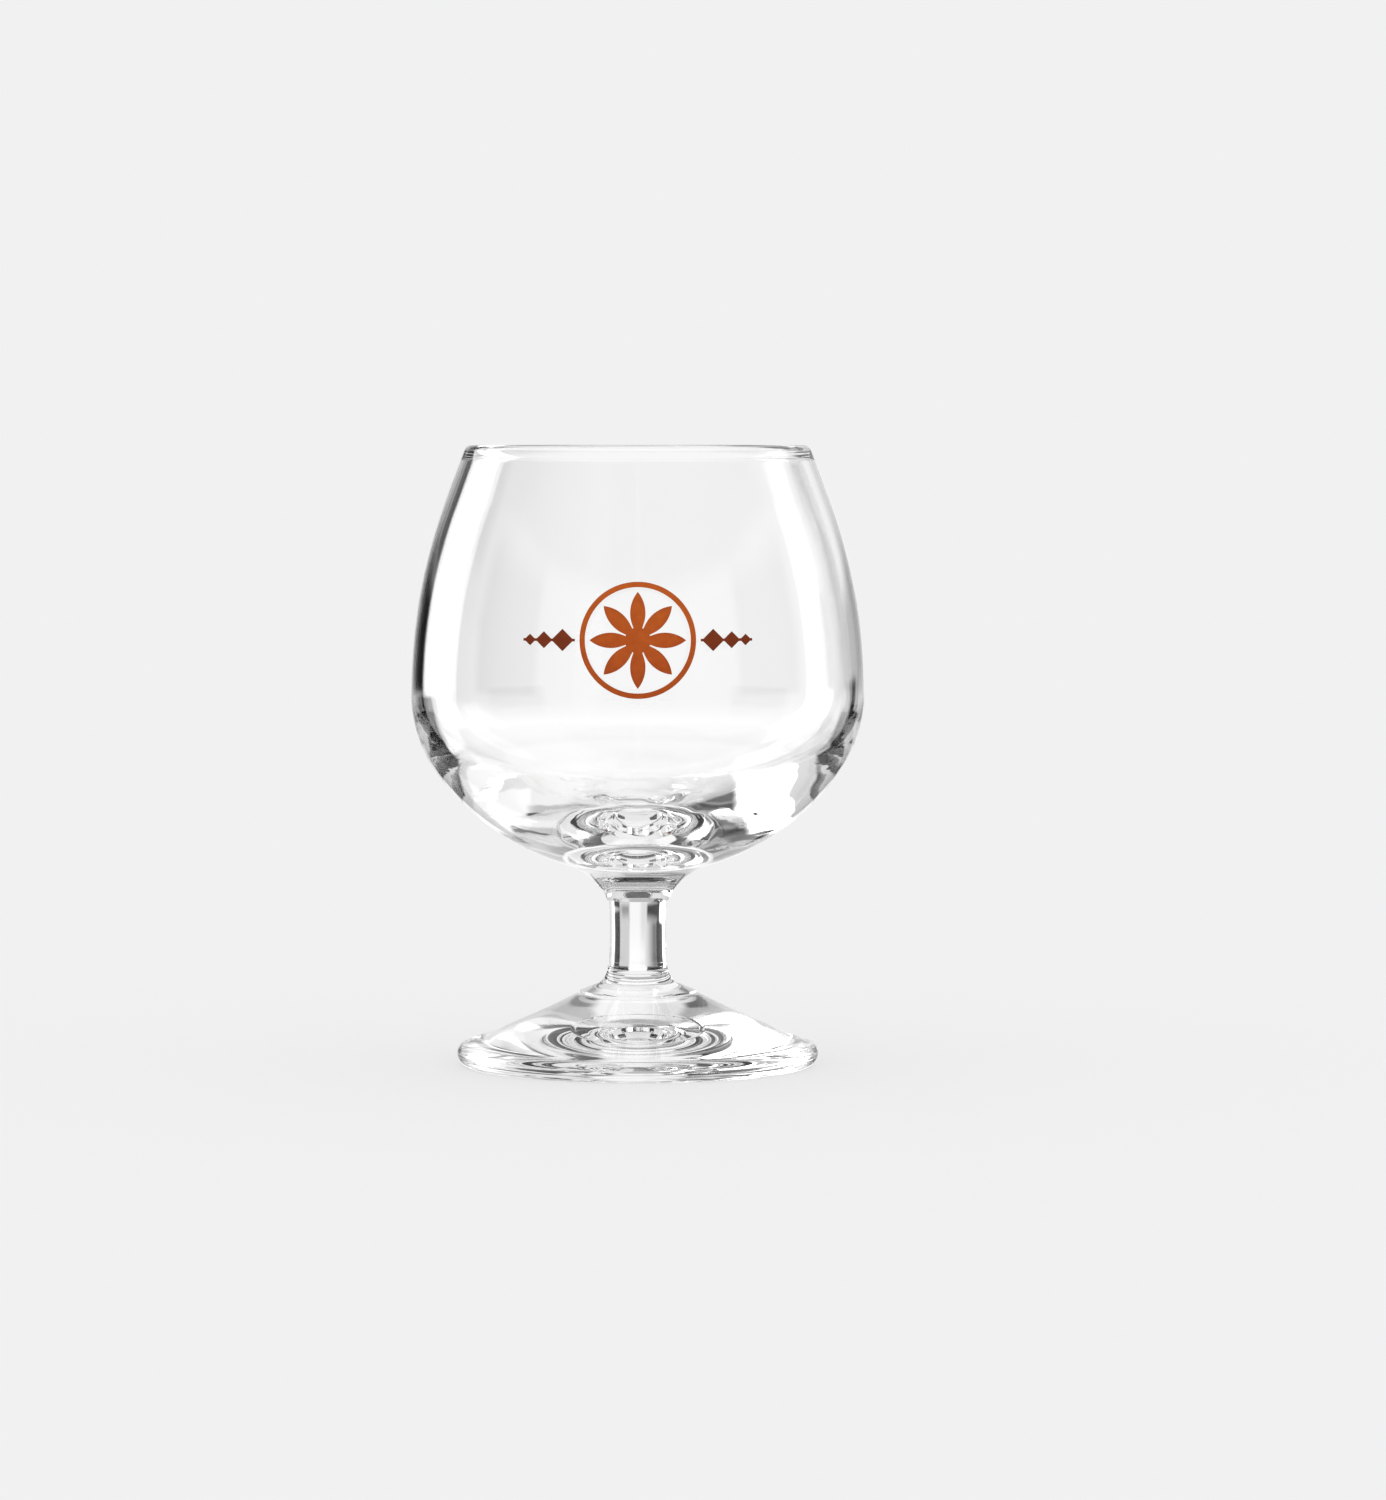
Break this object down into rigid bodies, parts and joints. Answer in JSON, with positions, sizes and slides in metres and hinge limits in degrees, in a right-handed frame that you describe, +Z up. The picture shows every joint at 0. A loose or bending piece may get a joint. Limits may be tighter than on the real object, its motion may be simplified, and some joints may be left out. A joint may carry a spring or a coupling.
{
  "type": "brandy snifter",
  "caption": "Short-stemmed brandy snifter: round thick-based glass bowl narrowing to the rim, on a collared stem and a sloping round foot, with a fired-ink rosette ornament.",
  "frame": {"origin": "centre of the foot's underside, on the plane it stands on", "axes": "+Z up along the axis of the glass, -Y towards the side that carries the ornament"},
  "size_m": [0.08, 0.0801, 0.1095],
  "materials": {
    "clear_glass": "clear, fire-polished soda-lime glass",
    "orange_ink": "burnt-orange fired enamel ink, satin",
    "brown_ink": "brown fired enamel ink, satin"
  },
  "bodies": {
    "root": {"bowl": "clear_glass", "bowl_collar": "clear_glass", "stem": "clear_glass", "foot_collar": "clear_glass", "foot": "clear_glass", "print_rosette": "orange_ink", "print_ring": "orange_ink", "print_bar_left": "brown_ink", "print_bar_right": "brown_ink"}
  },
  "joints": []
}
